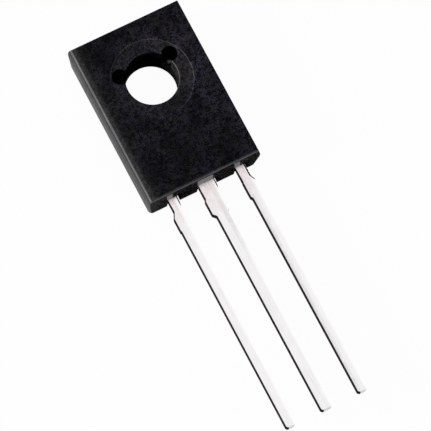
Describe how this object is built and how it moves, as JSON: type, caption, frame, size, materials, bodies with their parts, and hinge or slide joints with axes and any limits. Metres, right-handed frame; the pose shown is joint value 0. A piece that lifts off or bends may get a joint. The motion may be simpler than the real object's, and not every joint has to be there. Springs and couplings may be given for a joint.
{
  "type": "bipolar transistor",
  "caption": "Bipolar power transistor: black moulded body with a mounting hole and washer seat, exposed collector pad on the back and three long tinned leads.",
  "frame": {"origin": "axis of the mounting hole, on the mounting face (the back of the body, with the exposed collector pad)", "axes": "+Z out of the front face along the hole's axis, away from the mounting face; -Y along the leads to their tips; +X to the right when the front face is seen with the leads down, towards the base lead"},
  "size_m": [0.0074, 0.0262, 0.0025],
  "materials": {
    "moulding_compound": "semi-matt black epoxy with a fine moulded grain",
    "tinned_copper": "bright tin over copper, lightly drawn along the leads, darker at the sheared edges",
    "silicon": "polished dark grey",
    "solder": "dull grey",
    "bond_wire": "satin"
  },
  "bodies": {
    "root": {"moulded_body": "moulding_compound", "collector_pad": "tinned_copper", "collector_lead": "tinned_copper", "emitter_lead": "tinned_copper", "base_lead": "tinned_copper", "silicon_die": "silicon", "die_solder": "solder", "emitter_wire": "bond_wire", "base_wire": "bond_wire"}
  },
  "joints": []
}
